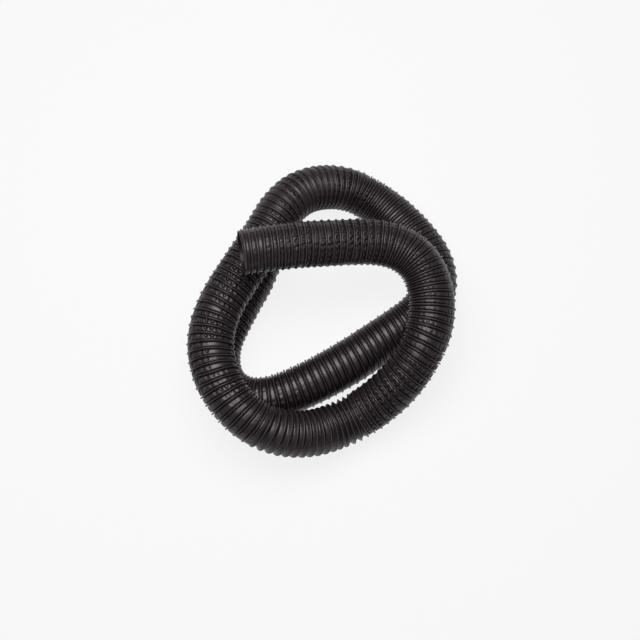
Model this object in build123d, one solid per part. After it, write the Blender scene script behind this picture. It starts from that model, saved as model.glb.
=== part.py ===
from build123d import *
import math
import os

# Flexible duct hose, 2 in bore, lying on a floor in a loose coil of about two turns.
# The wall is a coated fabric sleeve over a spring-wire helix. Both ends are cut bare.
# Lengths are in millimetres, +Z is up and the floor is at z = 0.

# Section
BORE_DIAMETER = 50.8
WALL = 2.1

# Share of the shorter neighbouring run that an arc takes on each side of its point
ARC_SHARE = 0.45

# Route from the end that shows to the end under the coil. Each point is x, y and the
# height of the hose's underside in hose diameters, because the turns lie on each other.
ROUTE = [
    # end A, on top of the coil
    (-99, 40, 2.06),
    (-50, 50, 1.95),
    (13, 59, 1.72),
    (71, 67, 1.48),
    # bend onto the right side, over the lower turn
    (111, 51, 1.34),
    (130, 17, 1.2),
    (132, -24, 1.09),
    (121, -60, 0.99),
    # down to the floor at the front
    (100, -91, 0.72),
    (73, -115, 0.35),
    (30, -141, 0.02),
    # up again, onto the left side of the lower turn
    (-27, -164, 0.4),
    (-81, -157, 0.86),
    (-124, -117, 1.04),
    (-141, -60, 1.05),
    (-130, -11, 1.04),
    (-102, 36, 1.04),
    (-75, 78, 1.04),
    # top arc, down to the floor
    (-51, 123, 0.98),
    (-20, 152, 0.67),
    (26, 162, 0.22),
    # lower turn, on the floor
    (69, 143, 0),
    (108, 107, 0),
    (136, 69, 0),
    (141, 29, 0),
    (120, -4, 0),
    (80, -29, 0),
    (28, -65, 0),
    (-26, -96, 0),
    (-68, -113, 0),
    (-101, -112, 0),
    (-125, -94, 0),
    (-133, -66, 0),
    (-130, -36, 0),
    (-111, 4, 0),
    (-91, 41, 0),
    (-79, 72, 0),
    # end B, under the upper turn, facing out of the coil
    (-75, 102, 0),
]

OUTER_DIAMETER = BORE_DIAMETER + 2 * WALL


def route_points():
    """The route's points on the hose's axis."""
    return [Vector(x, y, (lift + 0.5) * OUTER_DIAMETER) for x, y, lift in ROUTE]


def arc_radii(points):
    """The radius at each inner point: as large as its two runs allow."""
    radii = []
    for before, corner, after in zip(points, points[1:], points[2:]):
        turn = (corner - before).get_angle(after - corner)
        shorter = min((corner - before).length, (after - corner).length)
        radii.append(ARC_SHARE * shorter / math.tan(math.radians(turn / 2)))
    return radii


def hose_axis(points):
    """Straight runs joined by tangent arcs."""
    return FilletPolyline(*points, radius=arc_radii(points))


def hose(axis):
    """The wall: a ring swept from one cut end to the other."""
    outer = Circle(OUTER_DIAMETER / 2)
    bore = Circle(BORE_DIAMETER / 2)
    return sweep((axis ^ 0) * (outer - bore), path=axis)


def check_hose(solid, axis, points):
    """Print what a reader needs to trust the sweep."""
    radii = arc_radii(points)
    section = math.pi / 4 * (OUTER_DIAMETER**2 - BORE_DIAMETER**2)
    print("axis length", round(axis.length, 1))
    print("arc radii", [round(radius) for radius in radii])
    print("smallest radius in diameters", round(min(radii) / OUTER_DIAMETER, 2))
    print("volume over section times length", round(solid.volume / (section * axis.length), 4))


def main():
    os.makedirs("parts", exist_ok=True)
    points = route_points()
    axis = hose_axis(points)
    solid = hose(axis)
    check_hose(solid, axis, points)
    export_step(solid, "parts/hose_wall.step")


main()
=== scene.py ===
import bpy
import numpy as np
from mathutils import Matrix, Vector


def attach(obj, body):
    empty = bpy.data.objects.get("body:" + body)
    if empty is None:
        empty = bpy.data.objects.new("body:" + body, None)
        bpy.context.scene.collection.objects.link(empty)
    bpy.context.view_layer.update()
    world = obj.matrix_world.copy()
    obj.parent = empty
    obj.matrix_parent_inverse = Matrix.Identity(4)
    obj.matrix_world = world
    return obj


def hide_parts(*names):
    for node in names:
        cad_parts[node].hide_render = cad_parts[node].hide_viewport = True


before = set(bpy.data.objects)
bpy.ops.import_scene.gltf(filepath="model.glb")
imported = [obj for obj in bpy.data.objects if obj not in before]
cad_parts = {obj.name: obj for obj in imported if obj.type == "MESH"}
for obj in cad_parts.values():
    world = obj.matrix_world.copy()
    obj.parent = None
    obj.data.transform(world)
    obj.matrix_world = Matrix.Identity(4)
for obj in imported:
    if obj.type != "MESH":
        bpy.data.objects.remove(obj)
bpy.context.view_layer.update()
print("frame loaded")

# Flexible duct hose in a loose coil. Lengths are in metres, unless a name says mm.

hose = {
    "boreRadius": 0.0254,
    "outerRadius": 0.0275,
    "lift": 0.0006,  # for the sleeve's ridges, which stand out past that radius
    "length": 1.719,
}

# The route's points: x and y in mm, and the height of the hose's underside in hose diameters
route = [
    # end A, on top of the coil
    (-99, 41.5, 2.06),
    (-50, 51.5, 1.99),
    (13, 60, 1.74),
    (71, 67, 1.48),
    # bend onto the right side, over the lower turn
    (111, 51, 1.34),
    (130, 17, 1.2),
    (132, -24, 1.09),
    (121, -60, 0.99),
    # down to the floor at the front
    (100, -91, 0.72),
    (73, -115, 0.35),
    (30, -141, 0.02),
    # up again, onto the left side of the lower turn
    (-27, -164, 0.4),
    (-81, -157, 0.86),
    (-124, -117, 1.04),
    (-141, -60, 1.05),
    (-130, -11, 1.04),
    (-102, 36, 1.04),
    (-75, 78, 1.04),
    # top arc, down to the floor
    (-51, 123, 0.98),
    (-20, 152, 0.67),
    (27, 163, 0.22),
    # lower turn, on the floor
    (70, 143.5, 0),
    (108, 107, 0),
    (136, 69, 0),
    (141, 29, 0),
    (120, -4, 0),
    (81, -30, 0),
    (29, -66, 0),
    (-26, -96, 0),
    (-68, -113, 0),
    (-101, -112, 0),
    (-125, -94, 0),
    (-133, -66, 0),
    (-130, -36, 0),
    (-111, 4, 0),
    (-91, 41, 0),
    (-79, 72, 0),
    # end B, under the upper turn, facing out of the coil
    (-75, 102, 0),
]

camera = {
    "lookAt": (-0.005, -0.019, 0.060),
    "elevationDeg": 74.0,
    "distance": 2.150,
    "lens": 98.3,
    "sensor": 36.0,
    "clipEnd": 20.0,
}


def makeCamera():
    # the camera stands south of the coil and looks down at it
    data = bpy.data.cameras.new("camera")
    data.lens = camera["lens"]
    data.sensor_width = camera["sensor"]
    data.clip_end = camera["clipEnd"]
    obj = bpy.data.objects.new("camera", data)
    bpy.context.scene.collection.objects.link(obj)
    elevation = np.radians(camera["elevationDeg"])
    away = Vector((0.0, -np.cos(elevation), np.sin(elevation)))
    obj.location = Vector(camera["lookAt"]) + away * camera["distance"]
    obj.rotation_euler = away.to_track_quat("Z", "Y").to_euler()
    bpy.context.scene.camera = obj


makeCamera()
print("camera placed")

line = {
    "resolution": 48,  # points for each span of the spline
    "rowSpacing": 0.001,
    "samePoint": 1e-9,  # points of the spline nearer than this are one
    "tangentWindow": 9,  # rows that the running means take in
    "bendWindow": 25,
    "turnStep": 0.0005,  # step at which the wire's turns are counted
    "turnMargin": 0.05,  # and how far past each end
    "turnWindow": 3,
}


def routeLine():
    # one smooth open spline of order 3 over the route's points, read back as a line of points
    curve = bpy.data.curves.new("routeLine", "CURVE")
    curve.dimensions = "3D"
    curve.resolution_u = line["resolution"]
    spline = curve.splines.new("NURBS")
    points = np.array(route, float)
    points[:, :2] /= 1000
    points[:, 2] = (points[:, 2] * 2 + 1) * hose["outerRadius"] + hose["lift"]
    spline.points.add(len(points) - 1)
    weights = np.ones((len(points), 1))
    spline.points.foreach_set("co", np.hstack([points, weights]).ravel())
    spline.order_u = 3
    spline.use_endpoint_u = True
    holder = bpy.data.objects.new("routeLine", curve)
    bpy.context.scene.collection.objects.link(holder)
    mesh = bpy.data.meshes.new_from_object(holder)
    flat = np.empty(len(mesh.vertices) * 3)
    mesh.vertices.foreach_get("co", flat)
    bpy.data.objects.remove(holder)
    bpy.data.meshes.remove(mesh)
    return flat.reshape(-1, 3)


def evenLine(raw):
    # the same line with points at equal steps of arc length
    steps = np.linalg.norm(np.diff(raw, axis=0), axis=1)
    raw = raw[np.r_[True, steps > line["samePoint"]]]
    steps = np.linalg.norm(np.diff(raw, axis=0), axis=1)
    along = np.r_[0, np.cumsum(steps)]
    count = int(along[-1] / line["rowSpacing"]) + 1
    even = np.linspace(0, along[-1], count)
    return even, np.stack([np.interp(even, along, raw[:, k]) for k in range(3)], axis=1)


def smoothed(values, width):
    # running mean over width samples, weighted by a Hann window, with the ends held
    kernel = np.hanning(width + 2)[1:-1]
    kernel /= kernel.sum()
    pad = width // 2
    padding = [(pad, width - 1 - pad)] + [(0, 0)] * (values.ndim - 1)
    padded = np.pad(values, padding, mode="edge")
    if values.ndim == 1:
        return np.convolve(padded, kernel, mode="valid")
    columns = [np.convolve(column, kernel, mode="valid") for column in padded.T]
    return np.stack(columns, axis=1)


def unit(vectors):
    # each vector over its own length
    return vectors / np.linalg.norm(vectors, axis=-1, keepdims=True)


lineAlong, linePoints = evenLine(routeLine())
lineLength = lineAlong[-1]
lineTangent = np.gradient(linePoints, lineAlong, axis=0)
lineTangent = unit(smoothed(lineTangent, line["tangentWindow"]))
lineSide = unit(np.cross(lineTangent, (0.0, 0.0, 1.0)))
lineUp = np.cross(lineSide, lineTangent)
lineBend = smoothed(np.gradient(lineTangent, lineAlong, axis=0), line["bendWindow"])
print("route read, length", round(float(lineLength), 4))

# How the sleeve lies, read along the hose:
# mm: place along the hose, from end A
# spacing: from a ridge to the next, in mm
# lie: how a band lies. -0.5 sinks between its ridges. Where the fabric is slack, 0 has a fold
#     along its middle, 0.5 is flat and 1 bulges out
# creased: 0 smooth, 1 full of zigzag creases
# groove: how deep the grooves beside a ridge are, 0 to 1
# oval: how much wider than high the hose lies
lookColumns = ["mm", "spacing", "lie", "creased", "groove", "oval"]
sleeveLook = [
    (0, 8.0, 0.50, 0.1, 0.8, 0.00),
    (50, 7.9, 0.50, 0.3, 0.75, 0.02),
    (100, 8.4, 0.50, 0.8, 0.75, 0.03),
    (155, 9.2, 0.50, 0.9, 0.8, 0.02),
    (195, 9.0, 0.90, 0.2, 0.9, 0.02),
    (240, 8.8, 0.90, 0.2, 0.9, 0.02),
    (275, 8.3, 0.50, 0.2, 1.0, 0.04),
    (320, 9.8, 0.70, 0.4, 1.0, 0.03),
    (360, 9.8, 0.75, 0.8, 1.0, 0.02),
    (405, 9.4, 0.60, 0.9, 1.0, 0.045),
    (440, 9.0, 0.45, 0.6, 1.0, 0.06),
    (462, 8.4, -0.50, 0.3, 1.0, 0.05),
    (575, 8.8, -0.60, 0.10, 1.0, 0.02),
    (600, 9.8, 0.45, 0.08, 1.0, 0.02),
    (628, 9.8, 0.45, 0.15, 1.0, 0.02),
    (652, 9.6, 0.50, 0.8, 1.0, 0.03),
    (690, 9.2, 0.50, 1.0, 0.9, 0.04),
    (735, 9.2, 0.50, 0.9, 0.9, 0.04),
    (800, 8.8, 0.45, 1.0, 0.9, 0.03),
    (875, 8.2, 0.50, 0.4, 0.7, 0.02),
    (935, 8.2, 0.50, 0.5, 0.6, 0.02),
    (975, 8.2, 0.55, 0.3, 0.6, 0.01),
    (1025, 8.3, 0.50, 1.0, 0.9, -0.02),
    (1055, 8.2, 0.85, 0.2, 0.9, 0.00),
    (1105, 8.0, 0.65, 0.3, 0.9, 0.03),
    (1155, 8.0, 0.65, 0.3, 0.9, 0.03),
    (1210, 8.2, 0.45, 0.2, 1.0, 0.02),
    (1255, 9.2, 0.50, 0.1, 1.0, 0.03),
    (1295, 10.0, 0.50, 0.03, 1.0, 0.03),
    (1340, 10.0, 0.50, 0.03, 1.0, 0.05),
    (1400, 10.0, 0.50, 0.04, 1.0, 0.04),
    (1440, 10.0, 0.50, 0.20, 1.0, 0.03),
    (1470, 9.2, 0.45, 0.4, 0.8, 0.02),
    (1500, 9.0, 0.30, 0.9, 0.6, 0.01),
    (1555, 8.8, 0.35, 0.9, 0.5, 0.01),
    (1630, 8.6, 0.45, 0.6, 0.5, 0.01),
    (1685, 8.5, 0.50, 0.3, 0.7, 0.01),
    (1719, 8.5, 0.50, 0.1, 0.9, 0.00),
]

# The sleeve's section. Each radius is from the hose's axis.
sleeve = {
    "columns": 120,  # round the hose
    "ridgeTop": 0.0282,
    "ridgeUneven": 0.0001,
    "ridgeHalf": 0.0013,  # from a ridge's top line to its foot
    "ridgeMost": 0.25,  # and at most this share of the gap between two ridges
    "ridgeSpread": 0.5,  # how much wider a ridge lies where the fabric is slack
    "creasedSpread": 0.8,  # how much of that spread creases take away
    "sunkNarrow": 0.2,  # how much narrower it lies beside a band that sinks
    "flatFoot": 0.0239,  # foot of a ridge beside a flat or full band
    "flatBand": 0.0266,
    "foldFoot": 0.0252,  # foot of a ridge beside a band that folds in
    "foldBand": 0.0269,
    "sunkFoot": 0.0270,  # foot of a ridge beside a band that sinks
    "shoulderStart": 0.02,  # share of the band's width, from either foot
    "shoulderWidth": 0.14,
    "sink": 0.0034,
    "bulge": 0.0010,
    "bulgePower": 2.2,
    "valley": 0.0020,
    "valleyHalf": 0.3,  # share of half the band's width
    "valleyLips": 0.2,  # height of the lips beside a valley, as a share of its depth
    "fullWidth": 0.005,  # width from which a band has its full relief
    "leastRelief": 0.1,
    "wobble": 0.00020,  # how far a ridge strays from its even place
    "creasedWobble": 2,  # and how many times that more where the sleeve is creased
    "turnSpread": 0.12,  # uneven spacing, in turns
    "endInner": 0.02565,
    "middleInner": 0.0235,
    "endLength": 0.024,  # the inside narrows over this length
    "endStraight": 0.4,  # starting at this share of it
    "leastWall": 0.0002,
    "plainRelief": 0.5,  # for the colour of the cut ends and the inner ply
    "splits": (0.430, 0.860, 1.290),  # the sleeve is made in four stretches, parted here
    "seed": 11,
}

# How the fabric gives way
fabric = {
    "restGap": 0.0096,  # spacing at which the fabric is just stretched
    "fullSlack": 0.0016,  # slack at which it bulges or folds in full
    "lieSpread": 0.35,  # random part of how it lies
    "bendFold": 2.2,  # how fast the inside of a tight bend folds it in
    "bendStart": 0.8,  # from this squeeze down
    "bendMost": 0.4,  # and over this much of it
    "squeezeRange": (0.42, 2.0),
}

crease = {
    "count": 22,  # zigzag folds round the hose
    "depth": 0.0046,
    "steepness": 1.6,
    "most": 0.8,  # deepest drop, as a share of the depth
    "slip": 0.25,  # how far the zigzag of a turn may lie from the last turn's, in folds
    "patch": (0.7, 0.9),  # middle and spread of the patches
    "patchMost": 1.4,
    "dent": 0.00016,
    "smoothDent": 0.25,  # share of the dents that a smooth band has
}

# Smooth random fields: number of waves, most periods round the hose, and rate along it
fields = {
    "stray": (12, 4, 1.6),
    "lie": (14, 3, 0.8),
    "ridge": (10, 5, 1.2),
    "patch": (12, 3, 1.4),
    "dent": (10, 3, 0.35),
}

# One pitch of the sleeve, from a ridge to the next, has rows at these places
ridgeRows = np.array([0.0, 0.42, 0.78, 1.0])  # in ridge halves from the top line
bandRows = np.array([0.05, 0.16, 0.31, 0.5, 0.69, 0.84, 0.95])  # share of the band's width


def sampleLine(along):
    # points, frame and bend at arc lengths, by linear interpolation
    def at(values):
        return np.stack([np.interp(along, lineAlong, values[:, k]) for k in range(3)], axis=-1)

    return at(linePoints), unit(at(lineSide)), unit(at(lineUp)), at(lineBend)


def tableAt(along, name):
    # one column of the sleeve's table at arc lengths, by linear interpolation
    table = np.array(sleeveLook)
    return np.interp(along * 1000, table[:, 0], table[:, lookColumns.index(name)])


def easeIn(share):
    # smooth step from 0 to 1: 3 s^2 - 2 s^3
    share = np.clip(share, 0, 1)
    return share * share * (3 - 2 * share)


def turnPlaces(rng):
    # arc length at each whole turn of the wire, from two turns before the start:
    # turns made by s = integral of 1 / spacing, with a little random spread
    step, margin = line["turnStep"], line["turnMargin"]
    fine = np.arange(-margin, lineLength + margin, step)
    made = np.cumsum(step * 1000 / tableAt(fine, "spacing"))
    made -= np.interp(0, fine, made)
    turns = np.arange(-2, int(made[-1]))
    spread = smoothed(rng.normal(size=len(turns)), line["turnWindow"]) * sleeve["turnSpread"]
    return turns, np.interp(turns + spread, made, fine)


def waves(rng, phase, angle, field):
    # a smooth random field, mostly -1 to 1: the sum of count waves
    # cos(around * angle + drawn rate * phase + drawn start), over the root of count
    count, most, rate = fields[field]
    total = np.zeros(phase.shape)
    for _ in range(count):
        around = rng.integers(-most, most + 1)
        drawnRate = rng.normal() * rate
        total += np.cos(around * angle + drawnRate * phase + rng.uniform(0, 2 * np.pi))
    return total / np.sqrt(count)


def innerRadius(along):
    # inside of the sleeve: just outside the bore at each end, and smaller between, under the
    # deep folds
    along = np.clip(along, 0, lineLength)
    fromEnd = np.minimum(along, lineLength - along)
    share = easeIn(fromEnd / sleeve["endLength"] - sleeve["endStraight"])
    return sleeve["endInner"] + (sleeve["middleInner"] - sleeve["endInner"]) * share


def bandLie(rng, phase, angle, middle, squeeze, gap):
    # lean = 2 * lie - 1 + a random part, less where a tight bend squeezes the fabric. It runs
    # from -2, sunk, over -1, folded, and 0, flat, to 1, bulging. Slack is 0 for taut fabric.
    lean = 2 * tableAt(middle, "lie") - 1 + fabric["lieSpread"] * waves(rng, phase, angle, "lie")
    lean -= fabric["bendFold"] * np.clip(fabric["bendStart"] - squeeze, 0, fabric["bendMost"])
    slack = np.clip((fabric["restGap"] - gap) / fabric["fullSlack"], 0, 1)
    sunk = np.clip(-lean - 1, 0, 1)
    outShare = np.clip(lean, 0, 1) * slack
    inShare = np.clip(-lean, 0, 1) * slack * (1 - sunk)
    return slack, sunk, outShare, inShare


def ridgeHalf(gap, slack, sunk, creased):
    # half = rest half * (1 + spread - narrowing), and at most a share of the gap
    spread = sleeve["ridgeSpread"] * slack * (1 - sunk) * (1 - sleeve["creasedSpread"] * creased)
    half = sleeve["ridgeHalf"] * (1 + spread - sleeve["sunkNarrow"] * sunk)
    return np.minimum(half, sleeve["ridgeMost"] * gap)


def footAndBand(middle, sunk, inShare):
    # radius of a ridge's foot and of the band beside it: between flat and folded by inShare,
    # the foot raised where the groove is shallow, and both at the sunk foot where it sinks
    band = sleeve["flatBand"] + (sleeve["foldBand"] - sleeve["flatBand"]) * inShare
    foot = sleeve["flatFoot"] + (sleeve["foldFoot"] - sleeve["flatFoot"]) * inShare
    foot = band + (foot - band) * tableAt(middle, "groove")
    foot = foot + (sleeve["sunkFoot"] - foot) * sunk
    return foot, band + (foot - band) * sunk


def bandRadius(u, foot, band, sunk, outShare, inShare, relief):
    # over u, the share of the band's width: up from the foot over a short shoulder, plus a
    # round bulge, 1 - |2u - 1|^power, less a narrow valley between two lips, less a V that sinks
    fromMiddle = np.abs(2 * u - 1)
    shoulder = easeIn((np.minimum(u, 1 - u) - sleeve["shoulderStart"]) / sleeve["shoulderWidth"])
    bulge = sleeve["bulge"] * (outShare * relief)[None] * (1 - fromMiddle ** sleeve["bulgePower"])
    lips = sleeve["valleyLips"] * np.sin(2 * np.pi * u) ** 2
    valleyShape = np.clip(1 - fromMiddle / sleeve["valleyHalf"], 0, 1) - lips
    valley = sleeve["valley"] * (inShare * relief)[None] * valleyShape
    sink = sleeve["sink"] * (sunk * relief)[None] * (1 - fromMiddle)
    return foot[None] + (band - foot)[None] * shoulder + bulge - valley - sink


def creaseRadius(rng, turns, phase, angle, u, creased, relief):
    # creases in patches: the band drops on one side of a zigzag, by depth * patch * steepness *
    # (u - triangle wave), and has fine dents. Both fade at the feet by the root of sin(pi u).
    slips = np.cumsum(rng.integers(-1, 2, len(turns))) * crease["slip"]
    cell = crease["count"] * angle / (2 * np.pi) + np.interp(phase, turns, slips)
    zigzag = 1 - np.abs(2 * (cell % 1) - 1)
    fold = -np.clip(crease["steepness"] * (u - zigzag[None]), 0, crease["most"])
    patchMiddle, patchSpread = crease["patch"]
    patch = patchMiddle + patchSpread * waves(rng, phase, angle, "patch")
    drop = crease["depth"] * creased * np.clip(patch, 0, crease["patchMost"]) * relief
    dent = crease["dent"] * (crease["smoothDent"] + creased) * waves(rng, phase, angle, "dent")
    return (drop[None] * fold + dent[None]) * np.sin(np.pi * u) ** 0.5


def makeSleeve():
    # radius over (row, angle): a round ridge over the wire, a groove each side of it and a band
    # between. Rows follow the wire's helix, so the end of a turn is the start of the next.
    rng = np.random.default_rng(sleeve["seed"])
    turns, places = turnPlaces(rng)
    columns = sleeve["columns"]
    angle = (np.arange(columns + 1) * 2 * np.pi / columns)[None]
    phase = turns[:-2, None] + angle / (2 * np.pi)
    angle = np.broadcast_to(angle, phase.shape)
    straySeed = rng.integers(1 << 30)

    def wireAt(turn):
        # where the wire is, by turns made; one more turn has the same random field
        stray = waves(np.random.default_rng(straySeed), turn, angle, "stray")
        place = np.interp(turn, turns, places)
        more = 1 + sleeve["creasedWobble"] * tableAt(place, "creased")
        return place + sleeve["wobble"] * more * stray

    # squeeze = 1 - bend towards this side * radius: how much shorter the fabric is there
    here = wireAt(phase)
    pitch = wireAt(phase + 1) - here
    middle = np.clip(here + pitch / 2, 0, lineLength)
    _, side, up, bend = sampleLine(middle)
    outward = np.cos(angle)[..., None] * side + np.sin(angle)[..., None] * up
    squeeze = 1 - (bend * outward).sum(-1) * sleeve["flatBand"]
    squeeze = np.clip(squeeze, *fabric["squeezeRange"])
    gap = pitch * squeeze
    creased = tableAt(middle, "creased")
    slack, sunk, outShare, inShare = bandLie(rng, phase, angle, middle, squeeze, gap)

    # rows as real distance from the first ridge
    half = ridgeHalf(gap, slack, sunk, creased)
    width = gap - 2 * half
    near = ridgeRows[:, None, None] * half[None]
    across = half[None] + bandRows[:, None, None] * width[None]
    rows = np.concatenate([near, across, (gap[None] - near[1:])[::-1]])

    # ridge: half an ellipse from top to foot
    foot, band = footAndBand(middle, sunk, inShare)
    uneven = sleeve["ridgeUneven"] * (1 + waves(rng, phase, angle, "ridge"))
    ellipse = np.sqrt(1 - ridgeRows**2)[:, None, None]
    nearRadius = foot[None] + (sleeve["ridgeTop"] - uneven - foot)[None] * ellipse

    u = bandRows[:, None, None]
    relief = np.clip(width / sleeve["fullWidth"], sleeve["leastRelief"], 1)
    between = bandRadius(u, foot, band, sunk, outShare, inShare, relief)
    between = between + creaseRadius(rng, turns, phase, angle, u, creased, relief)

    radius = np.concatenate([nearRadius, between, nearRadius[1:][::-1]])
    leastRadius = innerRadius(here) + sleeve["leastWall"]
    radius = np.clip(radius, leastRadius[None], sleeve["ridgeTop"])

    def stacked(values):
        return values.transpose(1, 0, 2).reshape(-1, columns + 1)

    return stacked(here[None] + rows / squeeze[None]), stacked(radius), len(rows)


def tubePoints(along, radius, angle):
    # point = line + radius * ((1 + oval) * cos angle * side + (1 - oval) * sin angle * up)
    along = np.clip(along, 0, lineLength)
    centre, side, up, _ = sampleLine(along)
    oval = tableAt(along, "oval")
    sideways = ((1 + oval) * np.cos(angle))[..., None] * side
    upwards = ((1 - oval) * np.sin(angle))[..., None] * up
    return centre + radius[..., None] * (sideways + upwards)


def mapOf(along, angle):
    # the piece's own map: arc length, and distance round the hose
    return np.stack([along, np.broadcast_to(angle * hose["outerRadius"], along.shape)], -1)


def spiralSurface(along, radius, perTurn):
    # points and their numbers for rows that follow the helix. The last column of a row is the
    # first column one turn on, and what lies past a cut end moves onto that end's ring.
    rows, wide = along.shape
    columns = wide - 1
    angle = np.arange(wide) * 2 * np.pi / columns
    column = np.arange(columns)
    startRow = np.argmax(along[:, :columns] > 0, axis=0)
    endRow = rows - 1 - np.argmax(along[::-1, :columns] < lineLength, axis=0)

    def radiusAtCut(row, cut):
        first, second = along[row, column], along[row + 1, column]
        share = np.clip((cut - first) / (second - first), 0, 1)
        return radius[row, column] * (1 - share) + radius[row + 1, column] * share

    ringA = tubePoints(np.zeros(columns), radiusAtCut(startRow - 1, 0.0), angle[:-1])
    radiusB = radiusAtCut(endRow, lineLength)
    ringB = tubePoints(np.full(columns, lineLength), radiusB, angle[:-1])
    grid = tubePoints(along, radius, np.broadcast_to(angle, along.shape))
    number = np.arange(rows * wide).reshape(rows, wide)
    number[:-perTurn, columns] = number[perTurn:, 0]
    around = np.append(column, 0)
    number = np.where(along <= 0, rows * wide + around, number)
    number = np.where(along >= lineLength, rows * wide + columns + around, number)
    points = np.concatenate([grid.reshape(-1, 3), ringA, ringB])
    return points, number, mapOf(np.clip(along, 0, lineLength), angle).reshape(-1, 2)


def quadsOf(number, first, last):
    # corner numbers and grid places of the quads between two rows, wound to face outwards
    def corners(grid):
        part = grid[first:last + 1]
        square = [part[:-1, :-1], part[1:, :-1], part[1:, 1:], part[:-1, 1:]]
        return np.stack(square, -1).reshape(-1, 4)

    places = np.arange(number.size).reshape(number.shape)
    return corners(number), corners(places)


def markSharp(mesh, used, loops):
    # the edges along closed lines of points stay sharp: those of the cut faces
    edges = np.empty(len(mesh.edges) * 2, np.int32)
    mesh.edges.foreach_get("vertices", edges)
    edges = np.sort(used[edges.reshape(-1, 2)], axis=1)
    pairs = np.concatenate([np.stack([loop, np.roll(loop, -1)], 1) for loop in loops])
    pairs = np.sort(pairs, axis=1)
    scale = int(max(edges.max(), pairs.max())) + 1
    sharp = np.isin(edges[:, 0] * scale + edges[:, 1], pairs[:, 0] * scale + pairs[:, 1])
    mesh.attributes.new("sharp_edge", "BOOLEAN", "EDGE").data.foreach_set("value", sharp)


def meshObject(name, points, quads, quadUv, sharpLoops, relief):
    # each quad is cut in two triangles, and one with a corner named twice is dropped
    tris = np.concatenate([quads[:, [0, 1, 2]], quads[:, [0, 2, 3]]])
    triUv = np.concatenate([quadUv[:, [0, 1, 2]], quadUv[:, [0, 2, 3]]])
    first, second, third = tris.T
    good = (first != second) & (second != third) & (first != third)
    tris, triUv = tris[good], triUv[good]
    used, small = np.unique(tris, return_inverse=True)
    small = small.reshape(-1, 3)
    mesh = bpy.data.meshes.new(name)
    mesh.vertices.add(len(used))
    mesh.vertices.foreach_set("co", points[used].astype(np.float32).ravel())
    mesh.loops.add(small.size)
    mesh.loops.foreach_set("vertex_index", small.ravel().astype(np.int32))
    mesh.polygons.add(len(small))
    mesh.polygons.foreach_set("loop_start", np.arange(0, small.size, 3, dtype=np.int32))
    mesh.update(calc_edges=True)
    mesh.shade_smooth()
    layer = mesh.uv_layers.new(name="along")
    layer.data.foreach_set("uv", triUv.astype(np.float32).ravel())
    shade = mesh.attributes.new("relief", "FLOAT", "POINT")
    shade.data.foreach_set("value", relief[used].astype(np.float32))
    markSharp(mesh, used, sharpLoops)
    obj = bpy.data.objects.new(name, mesh)
    bpy.context.scene.collection.objects.link(obj)
    print(name, len(mesh.polygons), "triangles")
    return obj


def partingLoop(number, row, perTurn):
    # the closed line where a spiral surface is parted: one turn along a row, then back down
    # the first column
    return np.concatenate([number[row, :-1], number[row:row + perTurn + 1, 0][::-1][:-1]])


def cutEnd(edge, inside):
    # the cut face of the hose: a ring of quads between its two edges
    cap = np.stack([edge, np.roll(edge, -1), np.roll(inside, -1), inside], 1)
    return cap, [edge, inside]


def partingFace(outer, inner, row, turn, perTurn):
    # the face between two stretches: one turn of quads, a fan down the first column, and a
    # last triangle
    edge, inside = outer[row], inner[turn]
    ring = np.stack([edge[:-1], edge[1:], inside[1:], inside[:-1]], 1)
    step = outer[row:row + perTurn + 1, 0]
    corner = np.full(perTurn, inner[turn, 0])
    fan = np.stack([step[1:], step[:-1], corner, corner], 1)
    near, far = inner[turn, 0], inner[turn + 1, 0]
    closing = np.array([[outer[row + perTurn, 0], near, far, far]])
    loops = [partingLoop(outer, row, perTurn), partingLoop(inner, turn, 1)]
    return np.concatenate([ring, fan, closing]), loops


def buildSleeve():
    # outside and inside of the sleeve, parted along the middle of a band into four closed
    # stretches
    along, radius, perTurn = makeSleeve()
    halfTurn = perTurn // 2
    outerPoints, outer, outerUv = spiralSurface(along, radius, perTurn)
    innerAlong = along[halfTurn::perTurn]
    innerPoints, inner, innerUv = spiralSurface(innerAlong, innerRadius(innerAlong), 1)
    inner = inner + len(outerPoints)
    points = np.concatenate([outerPoints, innerPoints])

    # relief, for the colour that paints shade into the grooves and a highlight onto the ridges: 0
    # at the deepest foot and on the inside, 1 at a ridge's top, and a value of its own on the
    # rings of the cut ends
    relief = np.zeros(len(points))
    low, high = sleeve["flatFoot"], sleeve["ridgeTop"]
    relief[:radius.size] = np.clip((radius.ravel() - low) / (high - low), 0, 1)
    relief[radius.size:len(outerPoints)] = sleeve["plainRelief"]

    # the last points of each surface are the rings of end A and end B
    columns = sleeve["columns"]
    ringB = np.arange(-columns, 0)
    ringA = ringB - columns
    lastTurn = along.shape[0] // perTurn - 2
    parts = [0] + [int(np.argmax(innerAlong[:, 0] > split)) for split in sleeve["splits"]]
    parts.append(lastTurn)
    stretches = []
    for k, (first, last) in enumerate(zip(parts, parts[1:])):
        rowFirst, rowLast = first * perTurn + halfTurn, last * perTurn + halfTurn
        outerQuads, outerPlaces = quadsOf(outer, rowFirst, rowLast)
        innerQuads, innerPlaces = quadsOf(inner, first, last)
        if first == 0:
            startCap, startLoops = cutEnd(len(outerPoints) + ringA, len(points) + ringA)
        else:
            startCap, startLoops = partingFace(outer, inner, rowFirst, first, perTurn)
        if last == lastTurn:
            endCap, endLoops = cutEnd(len(outerPoints) + ringB, len(points) + ringB)
        else:
            endCap, endLoops = partingFace(outer, inner, rowLast, last, perTurn)
        caps = np.concatenate([startCap, endCap[:, ::-1]])
        quads = np.concatenate([outerQuads, innerQuads[:, ::-1], caps])
        capUv = np.zeros((len(caps), 4, 2))
        uvs = np.concatenate([outerUv[outerPlaces], innerUv[innerPlaces[:, ::-1]], capUv])
        loops = startLoops + endLoops
        stretches.append(meshObject(f"hoseSleeve{k + 1}", points, quads, uvs, loops, relief))
    return stretches


liner = {
    "columns": 48,  # round the hose
    "step": 0.006,  # along it
}


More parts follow.
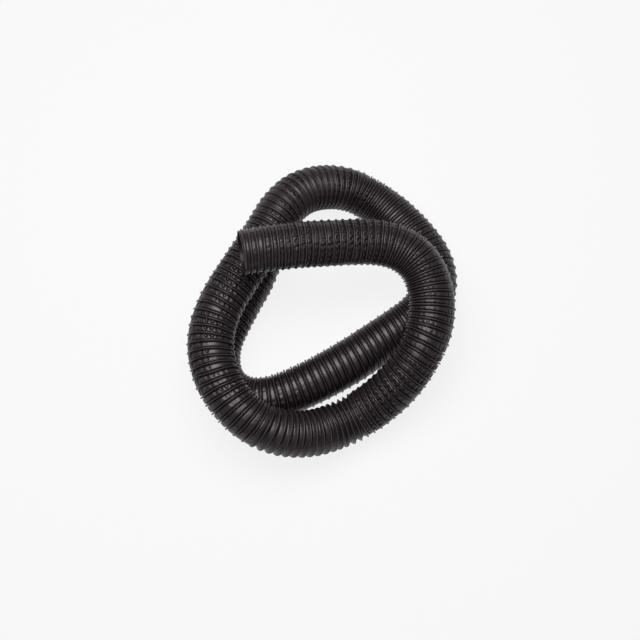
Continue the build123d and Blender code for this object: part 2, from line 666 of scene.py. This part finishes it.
def buildLiner():
    # inner ply: a closed tube under the sleeve, down to the bore at each end
    columns = liner["columns"]
    rows = int(lineLength / liner["step"]) + 1
    along = np.linspace(0, lineLength, rows)[:, None] * np.ones((1, columns + 1))
    angle = np.broadcast_to(np.arange(columns + 1) * 2 * np.pi / columns, along.shape)
    outside = innerRadius(along)
    inside = outside - (sleeve["endInner"] - hose["boreRadius"])
    number = np.arange(rows * columns).reshape(rows, columns)
    number = np.concatenate([number, number[:, :1]], axis=1)
    inNumber = number + rows * columns
    outQuads, places = quadsOf(number, 0, rows - 1)
    inQuads, _ = quadsOf(inNumber, 0, rows - 1)
    startCap, startLoops = cutEnd(number[0, :-1], inNumber[0, :-1])
    endCap, endLoops = cutEnd(number[-1, :-1], inNumber[-1, :-1])
    points = np.concatenate([
        tubePoints(along, outside, angle)[:, :-1].reshape(-1, 3),
        tubePoints(along, inside, angle)[:, :-1].reshape(-1, 3),
    ])
    quads = np.concatenate([outQuads, inQuads[:, ::-1], startCap, endCap[:, [0, 3, 2, 1]]])
    uv = mapOf(along, angle).reshape(-1, 2)
    uvs = np.concatenate([uv[places], uv[places[:, ::-1]], np.zeros((2 * columns, 4, 2))])
    relief = np.full(len(points), sleeve["plainRelief"])
    return meshObject("hoseLiner", points, quads, uvs, startLoops + endLoops, relief)


hoseSleeves = buildSleeve()
hoseLiner = buildLiner()
print("hose built")

rubber = {
    # painted shade: near black in the grooves beside each ridge
    "groove": (0.0012, 0.0008, 0.0009),
    "band": (0.0085, 0.0056, 0.0064),
    "bandRelief": (0.32, 0.80),  # the band's colour lies between these shares of the relief
    # painted highlight: lighter at a ridge's top
    "ridge": (0.0300, 0.0215, 0.0240),
    "ridgeRelief": 0.94,
    "cloudScale": 45.0,
    "cloudDetail": 4.0,
    "cloudSpread": 0.9,  # colour * (least + spread * cloud)
    "cloudLeast": 0.55,
    "speckScale": 420.0,
    "speckDetail": 3.0,
    "rough": 0.37,
    "roughSpread": 0.05,
    "specular": 0.50,
    "specularTint": (1.0, 0.88, 0.92),
    "threadSpacing": 0.0008,
    "threadHeight": 0.00001,
    "speckHeight": 1.5,  # as a share of the thread's
}


class Nodes:
    # short way to make nodes and feed their sockets, by name, or by number as n0, n1 and so on
    def __init__(self, material):
        self.tree = material.node_tree

    def make(self, kind, **settings):
        node = self.tree.nodes.new(kind)
        for key, value in settings.items():
            setattr(node, key, value)
        return node

    def feed(self, node, **inputs):
        for key, value in inputs.items():
            numbered = key[0] == "n" and key[1:].isdigit()
            socket = node.inputs[int(key[1:]) if numbered else key]
            if isinstance(value, bpy.types.NodeSocket):
                self.tree.links.new(value, socket)
            else:
                socket.default_value = value
        return node

    def maths(self, operation, *values):
        node = self.make("ShaderNodeMath", operation=operation)
        self.feed(node, **{f"n{k}": value for k, value in enumerate(values)})
        return node.outputs[0]


def makeNoise(make, vector, scale, detail):
    # smooth noise about 0.5, of scale cells a metre
    noise = make.make("ShaderNodeTexNoise")
    make.feed(noise, Vector=vector, Scale=scale, Detail=detail)
    return noise.outputs["Fac"]


def makeRubber():
    # coated fabric: colour by relief, with painted shade in the grooves and a painted highlight
    # on the ridge tops, times a cloud, roughness by specks, and as fine bump a weave, sin x * sin
    # y on the piece's own map, plus the specks
    material = bpy.data.materials.new("coatedFabric")
    material.use_nodes = True
    make = Nodes(material)
    shader = material.node_tree.nodes["Principled BSDF"]
    relief = make.make("ShaderNodeAttribute", attribute_name="relief").outputs["Fac"]
    where = make.make("ShaderNodeTexCoord")
    place = where.outputs["Object"]
    cloud = makeNoise(make, place, rubber["cloudScale"], rubber["cloudDetail"])
    speck = makeNoise(make, place, rubber["speckScale"], rubber["speckDetail"])

    # painted shade and highlight: the colour runs from near black at the deepest foot, over the
    # band's colour, to lighter at a ridge's top
    paintedLightRamp = make.make("ShaderNodeValToRGB")
    stops = paintedLightRamp.color_ramp.elements
    stops[0].position, stops[0].color = 0.0, (*rubber["groove"], 1)
    stops[1].position, stops[1].color = rubber["ridgeRelief"], (*rubber["ridge"], 1)
    for share in rubber["bandRelief"]:
        stops.new(share).color = (*rubber["band"], 1)
    make.feed(paintedLightRamp, Fac=relief)
    vary = make.maths("MULTIPLY_ADD", cloud, rubber["cloudSpread"], rubber["cloudLeast"])
    tint = make.make("ShaderNodeMix", data_type="RGBA", blend_type="MULTIPLY")
    tint.inputs["Factor"].default_value = 1.0
    material.node_tree.links.new(paintedLightRamp.outputs["Color"], tint.inputs["A"])
    material.node_tree.links.new(vary, tint.inputs["B"])
    material.node_tree.links.new(tint.outputs["Result"], shader.inputs["Base Color"])

    least = rubber["rough"] - rubber["roughSpread"]
    rough = make.maths("MULTIPLY_ADD", speck, 2 * rubber["roughSpread"], least)
    make.feed(shader, Roughness=rough)
    shader.inputs["Specular IOR Level"].default_value = rubber["specular"]
    shader.inputs["Specular Tint"].default_value = (*rubber["specularTint"], 1)

    split = make.feed(make.make("ShaderNodeSeparateXYZ"), Vector=where.outputs["UV"])
    turn = 2 * np.pi / rubber["threadSpacing"]
    warp = make.maths("SINE", make.maths("MULTIPLY", split.outputs["X"], turn))
    weft = make.maths("SINE", make.maths("MULTIPLY", split.outputs["Y"], turn))
    weave = make.maths("MULTIPLY", warp, weft)
    height = make.maths("MULTIPLY_ADD", speck, rubber["speckHeight"], weave)
    bump = make.make("ShaderNodeBump")
    make.feed(bump, Height=height, Strength=1.0, Distance=rubber["threadHeight"])
    make.feed(shader, Normal=bump.outputs["Normal"])
    return material


coatedFabric = makeRubber()
for piece in hoseSleeves + [hoseLiner]:
    piece.data.materials.append(coatedFabric)
print("material made")

studio = {
    "floorSize": 40.0,
    "floorWhite": 0.65,
    "floorLift": 0.85,  # share of the floor that is plain white, as it is seen
    "backdrop": 0.4,  # the world as it is seen
    "world": 0.05,  # and as it lights the hose
    "lampPower": 27.0,
    "lampSize": (1.2, 0.9),
    "lampPlace": (-0.15, 0.22, 1.5),
}


def seenDirectly(make):
    # 1 for camera, glossy and transmission rays, 0 for the light that falls on the hose
    path = make.make("ShaderNodeLightPath")
    either = make.maths("MAXIMUM", path.outputs["Is Camera Ray"], path.outputs["Is Glossy Ray"])
    return make.maths("MAXIMUM", either, path.outputs["Is Transmission Ray"])


def makeFloor():
    # flat square, seen as mostly plain white, and the rest of it keeps the shadow
    half = studio["floorSize"] / 2
    mesh = bpy.data.meshes.new("floor")
    corners = [(-half, -half, 0), (half, -half, 0), (half, half, 0), (-half, half, 0)]
    mesh.from_pydata(corners, [], [(0, 1, 2, 3)])
    floor = bpy.data.objects.new("floor", mesh)
    bpy.context.scene.collection.objects.link(floor)
    material = bpy.data.materials.new("floorWhite")
    material.use_nodes = True
    material.node_tree.nodes.clear()
    make = Nodes(material)
    plain = make.make("ShaderNodeBsdfDiffuse")
    make.feed(plain, Color=(studio["floorWhite"],) * 3 + (1,))
    glow = make.make("ShaderNodeEmission")
    mix = make.make("ShaderNodeMixShader")
    share = make.maths("MULTIPLY", seenDirectly(make), studio["floorLift"])
    make.feed(mix, n0=share, n1=plain.outputs[0], n2=glow.outputs[0])
    make.feed(make.make("ShaderNodeOutputMaterial"), Surface=mix.outputs[0])
    mesh.materials.append(material)


def makeLamp():
    # soft rectangle of light over the coil, turned to the origin
    data = bpy.data.lights.new("overhead", "AREA")
    data.shape = "RECTANGLE"
    data.size, data.size_y = studio["lampSize"]
    data.energy = studio["lampPower"]
    lamp = bpy.data.objects.new("overhead", data)
    lamp.location = studio["lampPlace"]
    lamp.rotation_euler = Vector(studio["lampPlace"]).to_track_quat("Z", "Y").to_euler()
    bpy.context.scene.collection.objects.link(lamp)


def makeWorld():
    # plain white world: strength = world + seen * (backdrop - world)
    world = bpy.data.worlds.new("studio")
    world.use_nodes = True
    make = Nodes(world)
    background = world.node_tree.nodes["Background"]
    share = seenDirectly(make)
    more = studio["backdrop"] - studio["world"]
    strength = make.maths("MULTIPLY_ADD", share, more, studio["world"])
    make.feed(background, Color=(1, 1, 1, 1), Strength=strength)
    bpy.context.scene.world = world


makeFloor()
makeLamp()
makeWorld()
bpy.context.scene.view_settings.view_transform = "Standard"
print("stage set")

for piece in hoseSleeves + [hoseLiner]:
    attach(piece, "root")
    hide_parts("hose_wall")
